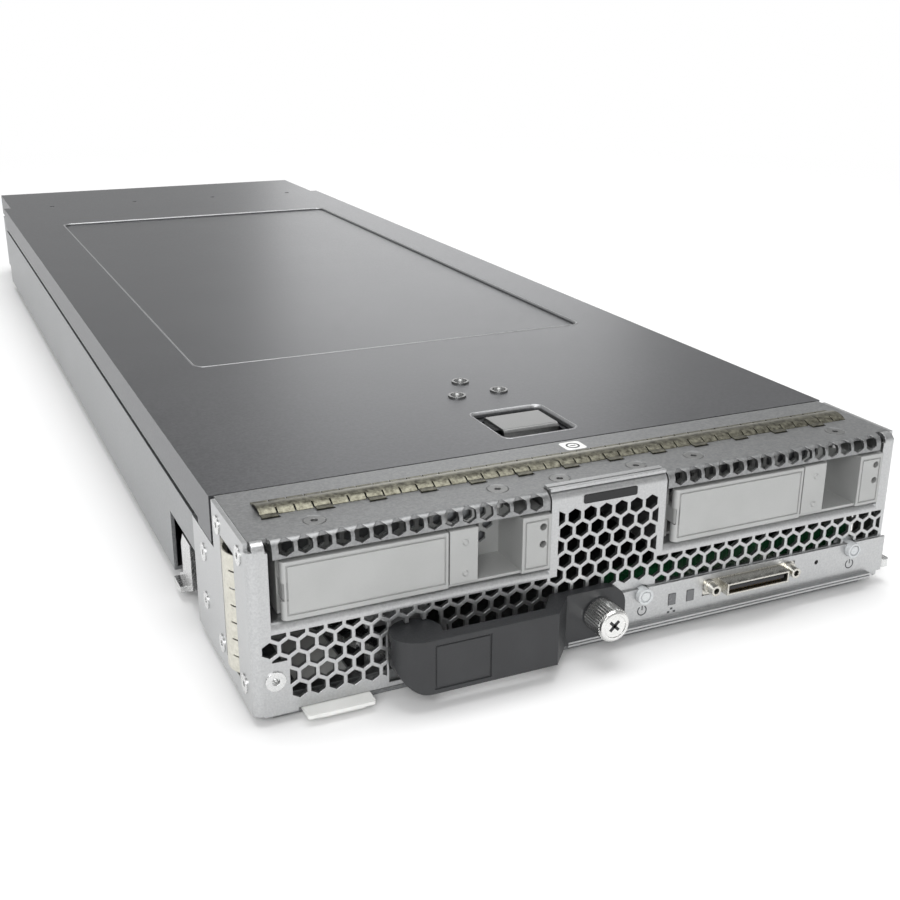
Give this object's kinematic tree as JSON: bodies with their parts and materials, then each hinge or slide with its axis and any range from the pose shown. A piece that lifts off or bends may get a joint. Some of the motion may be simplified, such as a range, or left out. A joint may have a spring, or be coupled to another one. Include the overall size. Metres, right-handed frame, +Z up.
{
  "type": "blade server",
  "caption": "Half-width blade server: sheet-metal tray with lift-off cover, perforated front, two drive carriers, swinging ejector handle with thumbscrew, control strip and inner boards.",
  "frame": {"origin": "centre of the tray's flat underside, at mid-width and at half the length of the tray and cover", "axes": "+X to the right seen from the front, +Y from the front panel to the rear connectors, +Z up to the cover"},
  "size_m": [0.2074, 0.6295, 0.0514],
  "materials": {
    "plated_steel": "zinc-plated sheet steel, satin",
    "cover_steel": "plated sheet steel, fine grain, satin",
    "front_steel": "plated sheet steel, satin",
    "gasket_metal": "spring strip, dull",
    "carrier_metal": "die-cast, bead-blasted, satin",
    "drive_case": "cast and machined, satin",
    "fastener_steel": "plated steel, bright",
    "knob_steel": "nickel-plated, knurled",
    "latch_steel": "stainless sheet, bright",
    "handle_black": "moulded, fine grain, matte",
    "connector_black": "moulded, matte",
    "connector_shell": "nickel-plated shell",
    "board_green": "solder mask on glass laminate",
    "lens_clear": "smoked light pipe, glossy",
    "button_clear": "pale moulding, glossy",
    "plunger_grey": "moulded, matte",
    "fin_aluminium": "bare, fine fins",
    "socket_metal": "plated load frame",
    "processor_metal": "nickel-plated lid",
    "standoff_brass": "machined",
    "cell_steel": "pressed, bright",
    "tag_white": "blank moulded tag, satin"
  },
  "bodies": {
    "chassis": {"base_tray": "plated_steel", "front_panel": "front_steel", "top_panel": "front_steel", "control_plate": "front_steel", "drive_cage": "plated_steel", "drive_backplane": "board_green", "drive_sockets": "connector_black", "gasket_strip_top": "gasket_metal", "gasket_strips_side": "gasket_metal", "top_screws": "fastener_steel", "side_rivets": "fastener_steel", "panel_stud": "fastener_steel", "corner_guide": "handle_black", "control_board": "board_green", "console_shell": "connector_shell", "console_insert": "connector_black", "jack_screws": "fastener_steel", "status_lights": "lens_clear", "ejector_brackets": "plated_steel", "ejector_pin": "fastener_steel", "motherboard": "board_green", "cpu_sockets": "socket_metal", "processors": "processor_metal", "heat_sink_front": "fin_aluminium", "heat_sink_rear": "fin_aluminium", "heat_sink_screws": "fastener_steel", "dimm_sockets": "connector_black", "memory_modules": "board_green", "board_standoffs": "standoff_brass", "board_screws": "fastener_steel", "network_card": "board_green", "mezzanine_card": "board_green", "power_connector": "connector_black", "data_connector": "connector_black", "guide_sockets": "connector_black", "coin_cell": "cell_steel", "storage_controller": "board_green", "latch_keeper": "plated_steel"},
    "cover": {"top_cover": "cover_steel", "latch_bracket": "plated_steel", "cover_rivets": "fastener_steel"},
    "cover_latch": {"cover_latch": "latch_steel"},
    "ejector": {"ejector_handle": "handle_black", "ejector_lever": "latch_steel", "screw_ferrule": "fastener_steel"},
    "screw_ring": {"retaining_ring": "fastener_steel"},
    "screw": {"thumbscrew": "knob_steel"},
    "left_carrier": {"carrier_left": "carrier_metal", "drive_left": "drive_case"},
    "right_carrier": {"carrier_right": "carrier_metal", "drive_right": "drive_case"},
    "left_carrier_lever": {"carrier_lever_left": "carrier_metal"},
    "right_carrier_lever": {"carrier_lever_right": "carrier_metal"},
    "left_release": {"carrier_release_left": "carrier_metal"},
    "right_release": {"carrier_release_right": "carrier_metal"},
    "power_button": {"power_button": "button_clear"},
    "beacon_button": {"beacon_button": "button_clear"},
    "reset_plunger": {"reset_plunger": "plunger_grey"},
    "pull_tag": {"pull_tag": "tag_white"}
  },
  "joints": [
    {"name": "cover_lift", "type": "slide", "parent": "chassis", "child": "cover", "axis": [0, 0, 1], "range_m": [0, 0.06]},
    {"name": "latch_press", "type": "hinge", "parent": "cover", "child": "cover_latch", "pos_m": [0.0026, -0.23475, 0.0454], "axis": [1, 0, 0], "range_deg": [0, 8], "stiffness_Nm_per_rad": 0.3, "springref_deg": -11.46},
    {"name": "ejector_swing", "type": "hinge", "parent": "chassis", "child": "ejector", "pos_m": [-0.0593, -0.30575, 0.01275], "axis": [0, 0, -1], "range_deg": [0, 60]},
    {"name": "screw_withdraw", "type": "slide", "parent": "ejector", "child": "screw_ring", "axis": [0, -1, 0], "range_m": [0, 0.005]},
    {"name": "screw_turn", "type": "hinge", "parent": "screw_ring", "child": "screw", "pos_m": [-0.004, -0.30675, 0.0132], "axis": [0, -1, 0], "range_deg": [0, 2575]},
    {"name": "left_carrier_slide", "type": "slide", "parent": "chassis", "child": "left_carrier", "axis": [0, -1, 0], "range_m": [0, 0.115]},
    {"name": "left_lever_swing", "type": "hinge", "parent": "left_carrier", "child": "left_carrier_lever", "pos_m": [-0.0916, -0.30075, 0.0366], "axis": [0, 0, -1], "range_deg": [0, 80]},
    {"name": "left_release_push", "type": "slide", "parent": "left_carrier", "child": "left_release", "axis": [1, 0, 0], "range_m": [0, 0.0018], "stiffness_N_per_m": 300},
    {"name": "right_carrier_slide", "type": "slide", "parent": "chassis", "child": "right_carrier", "axis": [0, -1, 0], "range_m": [0, 0.115]},
    {"name": "right_lever_swing", "type": "hinge", "parent": "right_carrier", "child": "right_carrier_lever", "pos_m": [0.0228, -0.30075, 0.0366], "axis": [0, 0, -1], "range_deg": [0, 80]},
    {"name": "right_release_push", "type": "slide", "parent": "right_carrier", "child": "right_release", "axis": [1, 0, 0], "range_m": [0, 0.0018], "stiffness_N_per_m": 300},
    {"name": "power_button_press", "type": "slide", "parent": "chassis", "child": "power_button", "axis": [0, 1, 0], "range_m": [0, 0.001], "stiffness_N_per_m": 600},
    {"name": "beacon_button_press", "type": "slide", "parent": "chassis", "child": "beacon_button", "axis": [0, 1, 0], "range_m": [0, 0.001], "stiffness_N_per_m": 600},
    {"name": "reset_press", "type": "slide", "parent": "chassis", "child": "reset_plunger", "axis": [0, 1, 0], "range_m": [0, 0.001], "stiffness_N_per_m": 300},
    {"name": "tag_pull", "type": "slide", "parent": "chassis", "child": "pull_tag", "axis": [0, -1, 0], "range_m": [0, 0.03]}
  ],
  "couplings": [
    {"joint": "screw_turn", "follows": "screw_withdraw", "rad_per_m": 8976}
  ]
}
